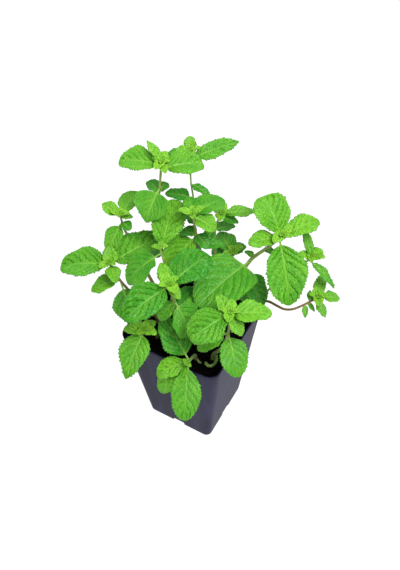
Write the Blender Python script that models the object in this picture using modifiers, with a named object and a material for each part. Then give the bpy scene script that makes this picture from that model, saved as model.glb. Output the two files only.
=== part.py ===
# Potted mint: a square nursery pot filled with potting mix, with mint shoots growing out of it.
# Lengths in the tables are millimetres; the scene is metres with +Z up.
# The origin is the middle of the pot's underside.

import math

import bmesh
import bpy
import numpy as np
from mathutils import Vector

MM = 0.001
COLLECTION = "potted_mint"

# Pot: a tapered square tub with a closed floor.
POT_TOP = 90.0
POT_BOTTOM = 64.0
POT_HEIGHT = 124.0
POT_CORNER = 10.0
POT_WALL = 1.2
CORNER_SEGMENTS = 6

# Drain notches, one in the middle of each side where wall and floor meet.
NOTCH_WIDTH = 12.0
NOTCH_HEIGHT = 5.0
NOTCH_REACH = 9.0

# Label slots, one near the back end of the left and right walls, under the rim.
SLOT_WIDTH = 3.0
SLOT_HEIGHT = 7.0
SLOT_DROP = 6.0
SLOT_SIDE = 31.0

# Potting mix, filled to below the rim.
MIX_TOP = 110.0
MIX_BOTTOM = 2.0
GAP = 0.3
MIX_GAP = 0.5

# Stems.
STEM_STEP = 8.0
FOOT = 2.0

# Leaves: a petiole that widens into a thin blade, folded up a little along its midrib.
PETIOLE_WIDTH = 1.8
PETIOLE_DEPTH = 1.3
BLADE_DEPTH = 0.7
FOLD = 14.0
SHARPEST = 0.4
BLADE_STATIONS = (0.07, 0.2, 0.36, 0.54, 0.72, 0.88)

# Each stem: the points it grows through, from the mix to its tip, and its radius at both ends.
STEMS = {
    "a": ([(-20, 14, 110), (-21, 15, 122), (-34, 24, 155), (-51, 35, 192), (-48, 36, 218), (-46, 38, 244)], 1.7, 0.9),
    "b": ([(-27, 4, 110), (-27, 4, 118), (-48, 12, 136), (-72, 24, 158), (-76, 21, 174), (-75, 17, 195)], 1.6, 0.8),
    "c": ([(-29, -9, 110), (-29, -9, 116), (-43, -11, 131), (-62, -11, 150), (-71, -10, 165)], 1.6, 0.8),
    "e": ([(-14, -2, 110), (-14, -2, 120), (-20, 0, 155), (-29, 3, 193)], 1.6, 0.8),
    "f": ([(-5, 18, 110), (-5, 18, 122), (-10, 28, 155), (-12, 30, 186), (-14, 28, 215)], 1.6, 0.8),
    "g": ([(5, 30, 110), (5, 30, 120), (-3, 44, 150), (-8, 53, 179), (-4, 56, 195)], 1.5, 0.8),
    "h": ([(-10, 28, 110), (-11, 29, 122), (-22, 44, 160), (-29, 55, 200), (-32, 57, 214), (-39, 68, 236)], 1.6, 0.8),
    "i": ([(20, 18, 110), (20, 19, 120), (23, 34, 148), (29, 42, 170), (41, 46, 188), (52, 48, 205)], 1.9, 1.1),
    "k": ([(31, 25, 110), (31, 25, 117), (44, 39, 132), (65, 37, 136), (75, 39, 142), (87, 50, 150)], 1.4, 0.8),
    "l": ([(45, 43, 136), (45, 43, 139), (52, 49, 150), (64, 56, 166), (73, 61, 179)], 1.1, 0.7),
    "m": ([(4, -12, 110), (4, -12, 122), (3, -20, 150), (0, -26, 178), (-3, -27, 195)], 1.6, 0.8),
    "n": ([(29, -19, 110), (30, -19, 118), (38, -21, 135), (43, -20, 158), (43, -18, 180)], 1.7, 0.8),
    "o": ([(17, -26, 110), (17, -26, 116), (20, -37, 129), (22, -47, 136)], 1.5, 0.9),
    "p": ([(-22, -22, 110), (-22, -23, 118), (-22, -33, 132), (-21, -40, 142)], 1.4, 0.8),
    "q": ([(10, 36, 110), (10, 37, 120), (9, 47, 140), (8, 54, 158)], 1.5, 0.8),
}

# Each leaf: its stem, the height of its node, then its heading and pitch in degrees, the straight
# length from node to tip, the blade's width, the petiole's share of the length, the droop in
# degrees from start to tip, and the roll about its own length.
LEAVES = {
    "a1": ("a", 242, -158, 3, 32, 27, 0.10, 25, 0),
    "a2": ("a", 238, 44, -3, 33, 30, 0.14, 30, 0),
    "a3": ("a", 220, -92, -43, 29, 31, 0.12, 30, 0),
    "b1": ("b", 190, -178, 28, 19, 14, 0.22, 20, 0),
    "b2": ("b", 193, 90, 10, 27, 18, 0.18, 25, 0),
    "b3": ("b", 184, -97, -45, 29, 17, 0.12, 25, 0),
    "c1": ("c", 164, -153, -5, 41, 30, 0.08, 25, 0),
    "c2": ("c", 164, 64, 2, 50, 31, 0.08, 22, 0),
    "c3": ("c", 150, -145, -22, 27, 18, 0.12, 30, 0),
    "c4": ("c", 150, -38, -38, 39, 24, 0.20, 14, -25),
    "e1": ("e", 191, 105, 15, 46, 26, 0.08, 20, 0),
    "e2": ("e", 188, -132, -38, 38, 30, 0.20, 30, 0),
    "f1": ("f", 214, 69, -5, 31, 22, 0.10, 25, 0),
    "f2": ("f", 212, 4, -20, 20, 17, 0.15, 25, 0),
    "f3": ("f", 190, -113, -38, 35, 32, 0.10, 25, 0),
    "f4": ("f", 178, 36, 0, 21, 13, 0.15, 25, 0),
    "g1": ("g", 194, 36, 0, 29, 13, 0.10, 25, 0),
    "g2": ("g", 191, 22, -15, 16, 10, 0.15, 25, 0),
    "h1": ("h", 231, 46, 11, 41, 14, 0.08, 12, -30),
    "h2": ("h", 233, -151, 0, 20, 13, 0.12, 25, 0),
    "h3": ("h", 201, -168, 0, 24, 14, 0.12, 25, 0),
    "i1": ("i", 203, 147, 35, 34, 29, 0.08, 60, 0),
    "i2": ("i", 203, 56, 5, 34, 20, 0.12, 25, 0),
    "i3": ("i", 203, -139, -3, 25, 17, 0.12, 25, 0),
    "i4": ("i", 202, -48, -46, 52, 32, 0.07, 30, 0),
    "i5": ("i", 171, -109, -12, 57, 48, 0.10, 25, 0),
    "i6": ("i", 160, -18, -45, 34, 22, 0.12, 25, 0),
    "k1": ("k", 150, 30, -5, 18, 12, 0.15, 25, 0),
    "k2": ("k", 149, -27, -32, 17, 8, 0.15, 25, 0),
    "l1": ("l", 177, -6, -35, 31, 9, 0.10, 30, 0),
    "m1": ("m", 194, -115, -15, 41, 30, 0.08, 25, 0),
    "m2": ("m", 194, 72, 5, 40, 30, 0.08, 25, 0),
    "m3": ("m", 179, -8, -68, 37, 28, 0.15, 20, 0),
    "n1": ("n", 179, -119, -14, 35, 30, 0.10, 30, 0),
    "n2": ("n", 179, 25, 5, 31, 20, 0.10, 25, 0),
    "n3": ("n", 158, -45, -40, 35, 22, 0.10, 30, 0),
    "n4": ("n", 158, -136, -30, 28, 17, 0.12, 25, 0),
    "o1": ("o", 134, -67, -45, 47, 23, 0.12, 25, 0),
    "o2": ("o", 132, -133, -20, 29, 19, 0.22, 30, 0),
    "o3": ("o", 133, 154, 20, 42, 26, 0.15, 25, 0),
    "p1": ("p", 141, -88, -36, 41, 24, 0.08, 30, 0),
    "q1": ("q", 157, 142, 0, 27, 17, 0.12, 25, 0),
    "q2": ("q", 155, 92, -10, 20, 14, 0.15, 25, 0),
}


def clear_scene():
    for thing in list(bpy.data.objects):
        bpy.data.objects.remove(thing, do_unlink=True)


def make_collection(name):
    collection = bpy.data.collections.new(name)
    bpy.context.scene.collection.children.link(collection)
    return collection


def make_material(name, colour, roughness):
    material = bpy.data.materials.new(name)
    material.use_nodes = True
    shader = material.node_tree.nodes["Principled BSDF"]
    shader.inputs["Base Color"].default_value = (*colour, 1.0)
    shader.inputs["Roughness"].default_value = roughness
    shader.inputs["Metallic"].default_value = 0.0
    return material


def add_object(name, mesh, material, collection):
    thing = bpy.data.objects.new(name, mesh)
    mesh.materials.clear()
    mesh.materials.append(material)
    collection.objects.link(thing)
    return thing


def rounded_tub(name, top, bottom, low, high, corner, lidded):
    # A cube with bevelled upright edges, tapered by scaling its lower ring; open on top unless lidded.
    mesh = bpy.data.meshes.new(name)
    shape = bmesh.new()
    bmesh.ops.create_cube(shape, size=1.0)
    for vertex in shape.verts:
        vertex.co = Vector((vertex.co.x * top, vertex.co.y * top, vertex.co.z)) * MM
    upright = [edge for edge in shape.edges
               if abs(edge.verts[0].co.z - edge.verts[1].co.z) > 0.5 * MM]
    bmesh.ops.bevel(shape, geom=upright, offset=corner * MM, offset_type="OFFSET",
                    segments=CORNER_SEGMENTS, profile=0.5, affect="EDGES")
    for vertex in shape.verts:
        upper = vertex.co.z > 0
        vertex.co.z = (high if upper else low) * MM
        if not upper:
            vertex.co.x *= bottom / top
            vertex.co.y *= bottom / top
    if not lidded:
        lids = [face for face in shape.faces if face.normal.z > 0.9]
        bmesh.ops.delete(shape, geom=lids, context="FACES_ONLY")
    shape.to_mesh(mesh)
    shape.free()
    return mesh


def add_cutter(name, size, centre, collection):
    bpy.ops.mesh.primitive_cube_add(size=1.0)
    cutter = bpy.context.object
    cutter.name = name
    for vertex in cutter.data.vertices:
        place = [vertex.co[i] * size[i] + centre[i] for i in range(3)]
        vertex.co = Vector(place) * MM
    for owner in list(cutter.users_collection):
        owner.objects.unlink(cutter)
    collection.objects.link(cutter)
    cutter.hide_render = True
    cutter.display_type = "WIRE"
    return cutter


def cut(thing, cutter):
    boolean = thing.modifiers.new(cutter.name, "BOOLEAN")
    boolean.operation = "DIFFERENCE"
    boolean.solver = "EXACT"
    boolean.object = cutter


def half_width(height, gap):
    # Half the pot's outer width at a height, less a gap measured from the wall's outside.
    share = height / POT_HEIGHT
    return (POT_BOTTOM + (POT_TOP - POT_BOTTOM) * share) / 2 - gap


def make_pot(collection, cutters):
    material = make_material("moulded_pot_plastic", (0.09, 0.09, 0.13), 0.45)
    mesh = rounded_tub("pot", POT_TOP, POT_BOTTOM, 0.0, POT_HEIGHT, POT_CORNER, lidded=False)
    pot = add_object("pot", mesh, material, collection)
    shell = pot.modifiers.new("wall", "SOLIDIFY")
    shell.thickness = POT_WALL * MM
    shell.offset = -1.0
    shell.use_even_offset = True
    reach = POT_BOTTOM / 2 - NOTCH_REACH / 2 + 1.0
    sides = {"front": (0, -1), "back": (0, 1), "left": (-1, 0), "right": (1, 0)}
    for side, (across, along) in sides.items():
        size = [NOTCH_WIDTH, NOTCH_WIDTH, 2 * NOTCH_HEIGHT]
        size[0 if across else 1] = NOTCH_REACH
        cut(pot, add_cutter("notch_" + side, size, (across * reach, along * reach, 0.0), cutters))
    slot_height = POT_HEIGHT - SLOT_DROP - SLOT_HEIGHT / 2
    for side, across in (("left", -1), ("right", 1)):
        size = (8.0, SLOT_WIDTH, SLOT_HEIGHT)
        centre = (across * half_width(slot_height, 0.0), SLOT_SIDE, slot_height)
        cut(pot, add_cutter("slot_" + side, size, centre, cutters))


def make_mix(collection):
    material = make_material("potting_mix", (0.012, 0.010, 0.008), 0.95)
    inset = POT_WALL + MIX_GAP
    top = 2 * half_width(MIX_TOP, inset)
    bottom = 2 * half_width(MIX_BOTTOM, inset)
    mesh = rounded_tub("potting_mix", top, bottom, MIX_BOTTOM, MIX_TOP, POT_CORNER - inset, lidded=True)
    add_object("potting_mix", mesh, material, collection)


def smooth_path(points, step):
    # A Catmull-Rom curve through the points, read at even steps along its length.
    points = np.array(points, dtype=float)
    padded = np.vstack([2 * points[0] - points[1], points, 2 * points[-1] - points[-2]])
    fine = []
    for start in range(len(points) - 1):
        before, here, there, after = padded[start:start + 4]
        for share in np.linspace(0, 1, 24, endpoint=False):
            bend = 2 * before - 5 * here + 4 * there - after
            twist = -before + 3 * here - 3 * there + after
            slope = there - before
            fine.append(0.5 * (2 * here + slope * share + bend * share ** 2 + twist * share ** 3))
    fine = np.array(fine + [points[-1]])
    travelled = np.concatenate([[0], np.cumsum(np.linalg.norm(np.diff(fine, axis=0), axis=1))])
    count = max(5, int(round(travelled[-1] / step)) + 1)
    stations = np.linspace(0, travelled[-1], count)
    return np.column_stack([np.interp(stations, travelled, fine[:, axis]) for axis in range(3)])


def stem_radius(key, share):
    _, thick, thin = STEMS[key]
    return thick + (thin - thick) * share ** 1.3


def stem_path(key):
    # The stem's centre line, with a short upright foot so that its cut end lies flat on the mix.
    path = smooth_path(STEMS[key][0], STEM_STEP)
    foot = path[0] + np.array([0.0, 0.0, GAP])
    return np.vstack([foot, foot + np.array([0.0, 0.0, FOOT]), path[1:]])


def make_stem(key, material, collection):
    path = stem_path(key)
    curve = bpy.data.curves.new("stem_" + key, "CURVE")
    curve.dimensions = "3D"
    curve.bevel_depth = MM
    curve.bevel_resolution = 2
    curve.use_fill_caps = True
    spline = curve.splines.new("POLY")
    spline.points.add(len(path) - 1)
    for index, place in enumerate(path):
        spline.points[index].co = (*(place * MM), 1.0)
        spline.points[index].radius = stem_radius(key, index / (len(path) - 1))
    add_object("stem_" + key, curve, material, collection)


def node_on_stem(key, height):
    # The stem's middle, its direction and its radius at a height.
    path = stem_path(key)
    place = np.array([np.interp(height, path[:, 2], path[:, axis]) for axis in range(3)])
    share = np.interp(height, path[:, 2], np.linspace(0, 1, len(path)))
    after = min(len(path) - 1, int(np.searchsorted(path[:, 2], height)))
    ahead = path[after] - path[after - 1]
    return place, ahead / np.linalg.norm(ahead), stem_radius(key, share)


def blade_outline(share):
    # Half width of an ovate blade, 1 at its widest, from the petiole (0) to the tip (1).
    return math.sin(math.pi * share ** 0.72) ** 0.8


def leaf_rings(row):
    # Eight points around the section at each station: two edges, three on top and three below.
    stem, height, heading, pitch, length, width, petiole, droop, roll = row
    node, growth, thickness = node_on_stem(stem, height)
    shares = [0.02, petiole] + [petiole + (1 - petiole) * t for t in BLADE_STATIONS]
    fine = np.linspace(0, 1, 61)
    slopes = np.radians(pitch + droop * (0.5 - fine))
    turn = math.radians(heading)
    steps = np.column_stack([np.cos(slopes) * math.cos(turn), np.cos(slopes) * math.sin(turn), np.sin(slopes)])
    spine = np.vstack([[0, 0, 0], np.cumsum(steps[:-1], axis=0)])
    spine *= length / np.linalg.norm(spine[-1])
    apart = max(SHARPEST, np.linalg.norm(np.cross(steps[0], growth)))
    clearance = (thickness + GAP + PETIOLE_DEPTH / 2 * (1 - apart)) / apart
    start = node + steps[0] * clearance
    spine = node + spine
    first = clearance / length

    def at(share):
        share = first + (1 - first) * share
        place = np.array([np.interp(share, fine, spine[:, axis]) for axis in range(3)])
        slope = math.radians(pitch + droop * (0.5 - share))
        ahead = np.array([math.cos(slope) * math.cos(turn), math.cos(slope) * math.sin(turn), math.sin(slope)])
        side = np.array([math.sin(turn), -math.cos(turn), 0.0])
        above = np.cross(side, ahead)
        tilt = math.radians(roll)
        return place, side * math.cos(tilt) + above * math.sin(tilt), above * math.cos(tilt) - side * math.sin(tilt)

    rings = []
    for index, share in enumerate(shares):
        place, side, above = at(share)
        if index < 2:
            reach = PETIOLE_WIDTH / 2
            depth = PETIOLE_DEPTH / 2
            rise = 0.0
        else:
            reach = max(PETIOLE_WIDTH / 2, width / 2 * blade_outline(BLADE_STATIONS[index - 2]))
            depth = BLADE_DEPTH / 2
            rise = math.tan(math.radians(FOLD))
        ring = []
        for across, level in ((-1, 0), (-0.5, 1), (0, 1), (0.5, 1), (1, 0), (0.5, -1), (0, -1), (-0.5, -1)):
            lift = rise * reach * abs(across) ** 1.3
            ring.append(place + side * reach * across + above * (lift + level * depth))
        rings.append(ring)
    return start, rings, at(1.0)[0]


def make_leaf(key, row, material, collection):
    # A loft from a point at the stem through the rings to a point at the tip.
    start, rings, tip = leaf_rings(row)
    shape = bmesh.new()
    base = shape.verts.new(Vector(start) * MM)
    loops = [[shape.verts.new(Vector(point) * MM) for point in ring] for ring in rings]
    end = shape.verts.new(Vector(tip) * MM)
    count = len(loops[0])
    for here in range(count):
        there = (here + 1) % count
        shape.faces.new((base, loops[0][there], loops[0][here]))
        for near, far in zip(loops[:-1], loops[1:]):
            shape.faces.new((near[here], near[there], far[there], far[here]))
        shape.faces.new((end, loops[-1][here], loops[-1][there]))
    bmesh.ops.recalc_face_normals(shape, faces=shape.faces)
    mesh = bpy.data.meshes.new("leaf_" + key)
    shape.to_mesh(mesh)
    shape.free()
    add_object("leaf_" + key, mesh, material, collection)


def main():
    clear_scene()
    collection = make_collection(COLLECTION)
    cutters = make_collection("cutters")
    make_pot(collection, cutters)
    make_mix(collection)
    stem_material = make_material("mint_stem", (0.36, 0.42, 0.16), 0.5)
    for key in STEMS:
        make_stem(key, stem_material, collection)
    leaf_material = make_material("mint_leaf", (0.10, 0.36, 0.05), 0.45)
    for key, row in LEAVES.items():
        make_leaf(key, row, leaf_material, collection)


main()
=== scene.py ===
import math

import bpy
import numpy as np
from mathutils import Matrix, Vector


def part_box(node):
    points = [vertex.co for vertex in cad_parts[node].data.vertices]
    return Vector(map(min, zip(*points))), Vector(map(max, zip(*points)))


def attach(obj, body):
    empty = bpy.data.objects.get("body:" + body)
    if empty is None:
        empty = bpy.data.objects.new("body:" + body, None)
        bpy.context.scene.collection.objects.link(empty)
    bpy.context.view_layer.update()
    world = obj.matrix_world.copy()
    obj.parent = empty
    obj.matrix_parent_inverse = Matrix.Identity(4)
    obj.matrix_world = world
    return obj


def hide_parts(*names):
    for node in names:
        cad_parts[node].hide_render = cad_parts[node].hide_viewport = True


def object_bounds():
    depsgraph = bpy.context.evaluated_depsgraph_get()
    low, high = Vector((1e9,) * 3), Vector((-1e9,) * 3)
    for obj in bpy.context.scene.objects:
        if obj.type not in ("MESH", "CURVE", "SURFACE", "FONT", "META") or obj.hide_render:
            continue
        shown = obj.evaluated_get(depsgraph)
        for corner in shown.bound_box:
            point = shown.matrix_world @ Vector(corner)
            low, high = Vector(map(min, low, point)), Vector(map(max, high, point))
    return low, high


# A pot of mint: a moulded square pot, damp potting mix, stems, quilted leaves and tip rosettes

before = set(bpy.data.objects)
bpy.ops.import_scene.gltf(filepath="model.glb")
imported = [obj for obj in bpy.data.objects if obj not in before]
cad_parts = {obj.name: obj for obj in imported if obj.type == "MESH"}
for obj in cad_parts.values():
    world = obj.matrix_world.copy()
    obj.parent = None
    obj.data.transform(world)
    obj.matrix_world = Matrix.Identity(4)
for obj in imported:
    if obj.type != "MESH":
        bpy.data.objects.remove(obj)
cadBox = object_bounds()
mm = 0.001


# Helpers shared by every piece

def linear(hexColour):
    # sRGB hex to linear RGBA
    parts = [int(hexColour[i:i + 2], 16) / 255 for i in (1, 3, 5)]
    return tuple(c / 12.92 if c < 0.04045 else ((c + 0.055) / 1.055) ** 2.4 for c in parts) + (1.0,)


def addNode(tree, kind, settings, links=None):
    # a node with its settings (sockets by name or number, else properties) and the outputs that feed it
    node = tree.nodes.new(kind)
    for name, value in settings.items():
        if isinstance(name, str) and hasattr(node, name):
            setattr(node, name, value)
    for name, value in settings.items():
        if isinstance(name, int) or not hasattr(node, name):
            node.inputs[name].default_value = value
    for name, output in (links or {}).items():
        tree.links.new(output, node.inputs[name])
    return node


def newMaterial(name, settings):
    material = bpy.data.materials.new(name)
    material.use_nodes = True
    tree = material.node_tree
    tree.nodes.clear()
    shader = addNode(tree, "ShaderNodeBsdfPrincipled", settings)
    addNode(tree, "ShaderNodeOutputMaterial", {}, {"Surface": shader.outputs[0]})
    return material, tree, shader


def smoothstep(low, high, x):
    t = np.clip((x - low) / (high - low), 0, 1)
    return t * t * (3 - 2 * t)


def scatter(i, j, seed):
    # a repeatable number from 0 to 1 for each whole-numbered place
    return np.mod(np.sin(i * 127.1 + j * 311.7 + seed * 74.7) * 43758.5453, 1.0)


def hashNoise(x, y, seed):
    # value noise: random numbers on whole steps of x and y, blended smoothly between them
    i, j = np.floor(x), np.floor(y)
    u, v = smoothstep(0, 1, x - i), smoothstep(0, 1, y - j)
    low = scatter(i, j, seed) * (1 - u) + scatter(i + 1, j, seed) * u
    high = scatter(i, j + 1, seed) * (1 - u) + scatter(i + 1, j + 1, seed) * u
    return (low * (1 - v) + high * v) * 2 - 1


def cellRise(x, y, seed, jitter=0.8, flank=0.55):
    # one point in each unit square; 0 halfway between the two nearest points, rising to 1 near a point
    i, j = np.floor(x), np.floor(y)
    nearest, second = np.full(x.shape, 9.0), np.full(x.shape, 9.0)
    for di in (-1, 0, 1):
        for dj in (-1, 0, 1):
            px = i + di + 0.5 + jitter * (scatter(i + di, j + dj, seed) - 0.5)
            py = j + dj + 0.5 + jitter * (scatter(i + di, j + dj, seed + 7) - 0.5)
            apart = np.hypot(x - px, y - py)
            second = np.minimum(second, np.maximum(nearest, apart))
            nearest = np.minimum(nearest, apart)
    rise = np.clip((second - nearest) / flank, 0, 1)
    return 1 - (1 - rise) ** 2


def curveThrough(knots, values, at, cautious):
    # cubic through the values; slopes come from the neighbours, and are cut down where it would overshoot
    gaps = np.diff(knots)[:, None]
    rises = np.diff(values, axis=0) / gaps
    between = (rises[1:] * gaps[:-1] + rises[:-1] * gaps[1:]) / (gaps[1:] + gaps[:-1])
    slopes = np.vstack([rises[:1], between, rises[-1:]])
    if cautious:
        before, after = np.vstack([rises[:1], rises]), np.vstack([rises, rises[-1:]])
        same = before * after > 0
        same[0] = same[-1] = True
        limit = 3 * np.minimum(np.abs(before), np.abs(after))
        slopes = np.where(same, np.clip(slopes, -limit, limit), 0)
    k = np.clip(np.searchsorted(knots, at, side="right") - 1, 0, len(knots) - 2)
    t = ((at - knots[k]) / (knots[k + 1] - knots[k]))[:, None]
    h = gaps[k]
    return (values[k] * (1 + 2 * t) * (1 - t) ** 2 + slopes[k] * h * t * (1 - t) ** 2
            + values[k + 1] * t * t * (3 - 2 * t) + slopes[k + 1] * h * t * t * (t - 1))


def makeMesh(name, points, quads, triangles, fields):
    # a mesh from arrays, turned so that its faces point outwards, with one number per point for each field
    every = np.vstack([quads[:, [0, 1, 2]], quads[:, [0, 2, 3]], triangles])
    a, b, c = points[every[:, 0]], points[every[:, 1]], points[every[:, 2]]
    if (a * np.cross(b, c)).sum() < 0:
        quads, triangles = quads[:, ::-1], triangles[:, ::-1]
    corners = np.concatenate([quads.ravel(), triangles.ravel()])
    starts = np.concatenate([np.arange(len(quads)) * 4, len(quads) * 4 + np.arange(len(triangles)) * 3])
    mesh = bpy.data.meshes.new(name)
    mesh.vertices.add(len(points))
    mesh.vertices.foreach_set("co", points.astype(np.float32).ravel())
    mesh.loops.add(len(corners))
    mesh.loops.foreach_set("vertex_index", corners.astype(np.int32))
    mesh.polygons.add(len(starts))
    mesh.polygons.foreach_set("loop_start", starts.astype(np.int32))
    mesh.update(calc_edges=True)
    mesh.validate()
    mesh.shade_smooth()
    for field, values in fields.items():
        mesh.attributes.new(field, "FLOAT", "POINT").data.foreach_set("value", values.astype(np.float32))
    return mesh


def ringMesh(rings, startPole, endPole):
    # rings of points in a row, closed by a point at each end: returns points, quads and triangles
    rows, around = rings.shape[:2]
    points = np.vstack([rings.reshape(-1, 3), startPole, endPole])
    i, j = np.meshgrid(np.arange(rows - 1), np.arange(around), indexing="ij")
    nextJ = (j + 1) % around
    quads = np.stack([i * around + j, i * around + nextJ, (i + 1) * around + nextJ, (i + 1) * around + j],
                     -1)
    here = np.arange(around)
    there = (here + 1) % around
    last = (rows - 1) * around
    first = np.stack([there, here, np.full(around, rows * around)], -1)
    final = np.stack([last + here, last + there, np.full(around, rows * around + 1)], -1)
    return points, quads.reshape(-1, 4), np.vstack([first, final])


def joinParts(parts):
    # several (points, quads, triangles, fields) as one, keeping each a closed body of its own
    offsets = np.cumsum([0] + [len(p[0]) for p in parts[:-1]])
    points = np.vstack([p[0] for p in parts])
    quads = np.vstack([p[1] + o for p, o in zip(parts, offsets)])
    triangles = np.vstack([p[2] + o for p, o in zip(parts, offsets)])
    fields = {key: np.concatenate([p[3][key] for p in parts]) for key in parts[0][3]}
    return points, quads, triangles, fields


def addPiece(name, part, material, replaced=()):
    mesh = makeMesh(name, *part)
    mesh.materials.append(material)
    piece = bpy.data.objects.new(name, mesh)
    bpy.context.scene.collection.objects.link(piece)
    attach(piece, "root")
    if replaced:
        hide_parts(*replaced)
    return piece


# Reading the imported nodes

def mergedNode(name):
    # the node's corners, each once, and which of them an edge joins
    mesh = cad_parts[name].data
    raw = np.empty(len(mesh.vertices) * 3, np.float32)
    mesh.vertices.foreach_get("co", raw)
    raw = raw.reshape(-1, 3).astype(float)
    rounded = np.round(raw / (0.002 * mm)).astype(int)
    _, first, same = np.unique(rounded, axis=0, return_index=True, return_inverse=True)
    edges = np.empty(len(mesh.edges) * 2, np.int32)
    mesh.edges.foreach_get("vertices", edges)
    edges = same.reshape(-1)[edges.reshape(-1, 2)]
    joined = np.zeros((len(first), len(first)), bool)
    joined[edges[:, 0], edges[:, 1]] = True
    joined |= joined.T
    np.fill_diagonal(joined, False)
    return raw[first], joined


def ringLevels(joined, start):
    # groups of points by how many edges away from the start they are
    levels, seen = [start], start.copy()
    while not seen.all():
        following = joined[levels[-1]].any(0) & ~seen
        if not following.any():
            break
        levels.append(following)
        seen |= following
    return levels


def stemCentres(name):
    # the middle and radius of each ring of a packed stem, from its foot up
    points, joined = mergedNode(name)
    start = points[:, 2] < points[:, 2].min() + 0.05 * mm
    groups = [points[level] for level in ringLevels(joined, start)]
    groups = [g for g in groups if len(g) >= 6]
    centres = np.array([g.mean(0) for g in groups])
    radii = np.array([np.linalg.norm(g - g.mean(0), axis=1).mean() for g in groups])
    return centres, radii


def leafColumns(name):
    # five lines of points along a packed leaf: left edge, left half, midrib, right half, right edge
    points, joined = mergedNode(name)
    ends = []
    for k in range(len(points)):
        levels = ringLevels(joined, np.arange(len(points)) == k)
        if levels[-1].sum() == 1 and all(level.sum() in (6, 8) for level in levels[1:-1]):
            ends.append((np.linalg.norm(points[joined[k]] - points[k], axis=1).max(), k, levels))
    _, base, levels = min(ends, key=lambda end: end[0])
    rings = [points[level] for level in levels[1:-1] if level.sum() == 8]
    tip = points[levels[-1]][0]
    middles = np.array([g.mean(0) for g in rings])
    ahead = np.gradient(middles, axis=0)
    ahead /= np.linalg.norm(ahead, axis=1)[:, None]
    sides, widths = [], []
    for g in rings:
        spread = np.linalg.norm(g[:, None] - g[None], axis=2)
        i, j = np.unravel_index(spread.argmax(), spread.shape)
        sides.append(g[j] - g[i])
        widths.append(spread.max())
    widest = int(np.argmax(widths))
    order = list(range(widest, len(rings))) + list(range(widest - 1, -1, -1))
    for k in order:
        side = sides[k] / np.linalg.norm(sides[k])
        if k == widest:
            line = rings[k][np.argsort(rings[k] @ side)]
            lift = (line[0] + line[7]) / 2 - (line[3] + line[4]) / 2
            known = side if lift @ np.cross(side, ahead[k]) > 0 else -side
            left = right = known
        known = right if k >= widest else left
        side = side if side @ known > 0 else -side
        sides[k] = side
        if k >= widest:
            right = side
        if k <= widest:
            left = side
    columns = [np.tile(points[base], (5, 1))]
    for g, side in zip(rings, sides):
        line = g[np.argsort(g @ side)]
        inner = [line[1:3].mean(0), line[3:5].mean(0), line[5:7].mean(0)]
        columns.append(np.array([line[0], *inner, line[7]]))
    columns.append(np.tile(tip, (5, 1)))
    return np.array(columns)


leafShape = {
    "alongStep": 0.45 * mm,      # grid spacing from petiole to tip
    "acrossStep": 0.55 * mm,     # and from edge to edge
    "petioleKept": 0.6,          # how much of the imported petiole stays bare
    "petioleHalf": 0.75 * mm,
    "toothPitch": 2.7 * mm,      # from one margin tooth to the next
    "toothDepth": 1.0 * mm,
    "pairs": 5.5,                # side veins on each half of a large leaf
    "veinLean": 0.80,            # how far a side vein runs forward, for each step it goes outward
    "veinArch": 0.45,            # and how much more of that near the margin
    "veinGroove": 0.50 * mm,
    "cellSize": 2.4 * mm,        # the net of small veins closes cells of this size
    "cellsAStrip": 3.0,          # cells from one side vein to the next
    "cellHeight": 1.10 * mm,
    "quiltHeight": 1.45 * mm,    # how far the blade swells between two side veins
    "crumple": 0.14 * mm,        # small unevenness on every swelling
    "crumpleSize": 1.5 * mm,
    "ribGroove": 0.35 * mm,      # the midrib lies in a groove above
    "ribWidth": 0.50 * mm,
    "ribDepth": 0.55 * mm,       # and stands out below
    "edgeWave": 0.9 * mm,
    "edgeCurl": 0.8 * mm,        # the margin turns down a little
    "bladeThickness": 0.34 * mm,
    "petioleThickness": 1.15 * mm,
    "petioleRoot": 1.0 * mm,     # how far the petiole runs back into its stem
    "toothSkew": 0.75,           # share of a tooth that rises before it drops
    "lobeDepth": 0.06,           # slow swell of the outline, as a share of its width
}


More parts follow.
